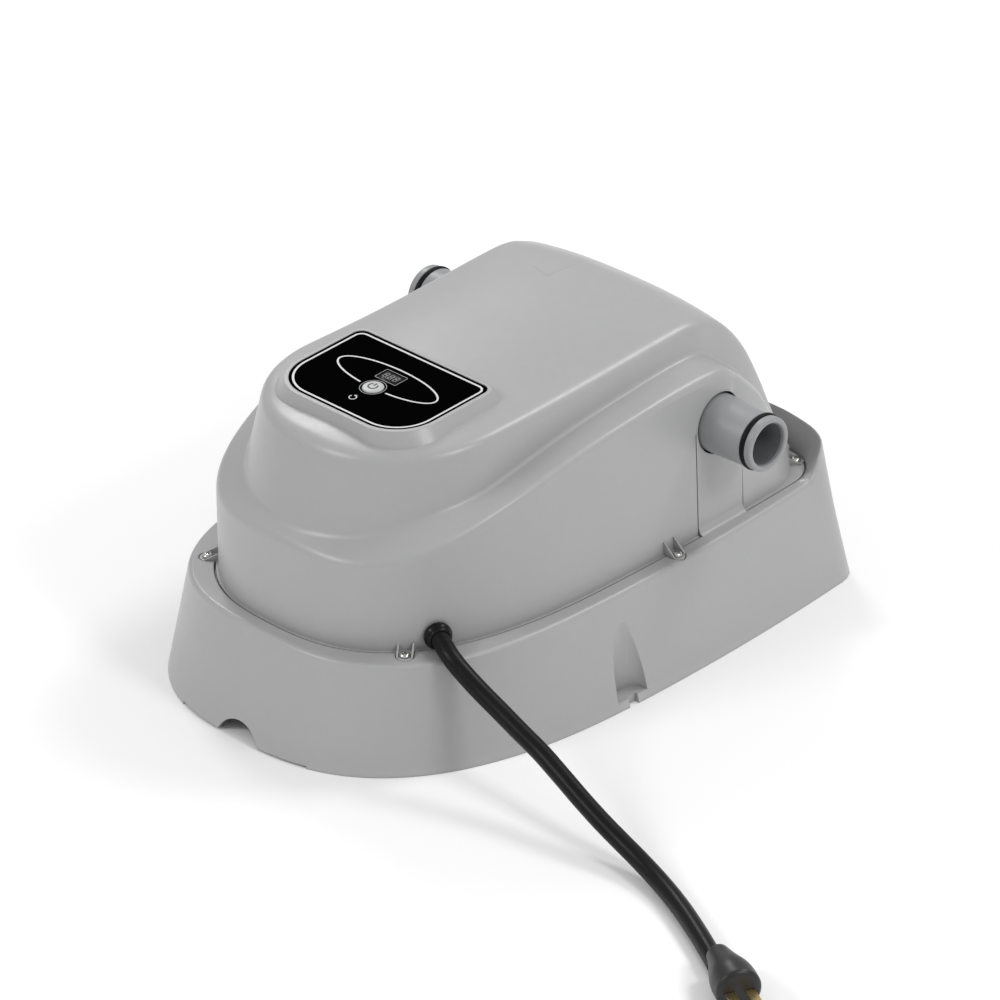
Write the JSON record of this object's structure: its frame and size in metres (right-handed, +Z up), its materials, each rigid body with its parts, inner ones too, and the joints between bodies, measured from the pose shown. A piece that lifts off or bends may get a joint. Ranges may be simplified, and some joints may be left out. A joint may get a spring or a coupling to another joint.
{
  "type": "salt chlorine generator",
  "caption": "Low domed pool water chlorine generator standing on a tray, with hose ports through both sides, a flat control panel with a push button and a supply cord.",
  "frame": {"origin": "on the ground, in the middle of the tray's rear foot edge (the end opposite the rounded front)", "axes": "+X to the right seen from the rounded front end, along the water path through the ports; -Y towards the rounded front end; +Z up"},
  "size_m": [0.6213, 0.4704, 0.2188],
  "materials": {
    "grey_shell": "satin, fine moulded texture",
    "port_grey": "satin",
    "panel_black": "gloss",
    "window": "clear dark",
    "button_grey": "satin",
    "black_plastic": "satin",
    "gland_black": "gloss",
    "cell_grey": "satin",
    "rubber_black": "matt",
    "titanium": "bare titanium",
    "coated_titanium": "dark oxide coating",
    "steel": "stainless",
    "nylon": "natural",
    "board_green": "solder mask",
    "heat_sink_alu": "as extruded",
    "component_blue": "satin",
    "terminal_green": "satin",
    "brass": "plain",
    "core_grey": "varnished laminations",
    "lead_red": "satin",
    "flat_cable_grey": "satin"
  },
  "bodies": {
    "housing": {"anode_lead": "lead_red", "anode_terminal": "titanium", "base_tray": "grey_shell", "cable_gland": "gland_black", "capacitor": "component_blue", "cathode_lead": "rubber_black", "cathode_terminal": "titanium", "cell_body": "cell_grey", "cell_cap": "cell_grey", "cell_cap_gasket": "rubber_black", "cell_saddle_left": "grey_shell", "cell_saddle_right": "grey_shell", "control_board": "board_green", "control_label": "panel_black", "cover_screw_left_1": "steel", "cover_screw_left_2": "steel", "cover_screw_left_3": "steel", "cover_screw_right_1": "steel", "cover_screw_right_2": "steel", "cover_screw_right_3": "steel", "display_module": "black_plastic", "display_window": "window", "electrode_comb_left": "nylon", "electrode_comb_right": "nylon", "electrode_plate_1": "coated_titanium", "electrode_plate_2": "titanium", "electrode_plate_3": "coated_titanium", "electrode_plate_4": "titanium", "flow_switch_body": "black_plastic", "flow_switch_cable": "rubber_black", "gland_lock_nut": "black_plastic", "heat_sink": "heat_sink_alu", "housing_cover": "grey_shell", "mains_plug": "rubber_black", "o_ring_left": "rubber_black", "o_ring_right": "rubber_black", "output_terminal_block": "terminal_green", "paddle_pin": "steel", "plug_pin_1": "brass", "plug_pin_2": "brass", "port_fitting_left": "port_grey", "port_fitting_right": "port_grey", "port_seal_left": "rubber_black", "port_seal_right": "rubber_black", "power_board": "board_green", "power_cord": "rubber_black", "reed_switch": "window", "relay": "component_blue", "ribbon_cable": "flat_cable_grey", "salinity_cable": "rubber_black", "salinity_probe": "black_plastic", "supply_terminal_block": "terminal_green", "tact_switch_body": "steel", "transformer": "core_grey", "union_nut_left": "black_plastic", "union_nut_right": "black_plastic"},
    "button": {"power_button": "button_grey"},
    "switch_plunger": {"tact_switch_plunger": "black_plastic"},
    "paddle": {"flow_paddle": "nylon"}
  },
  "joints": [
    {"name": "power_button_press", "type": "slide", "parent": "housing", "child": "button", "axis": [0, 0.0558, -0.9984], "range_m": [0, 0.0008], "stiffness_N_per_m": 150},
    {"name": "switch_plunger_press", "type": "slide", "parent": "housing", "child": "switch_plunger", "axis": [0, 0.0558, -0.9984], "range_m": [0, 0.0008]},
    {"name": "flow_paddle_swing", "type": "hinge", "parent": "housing", "child": "paddle", "pos_m": [-0.095, -0.1155, 0.1586], "axis": [0, -1, 0], "range_deg": [0, 28]}
  ],
  "couplings": [
    {"joint": "switch_plunger_press", "follows": "power_button_press", "ratio": 1}
  ]
}
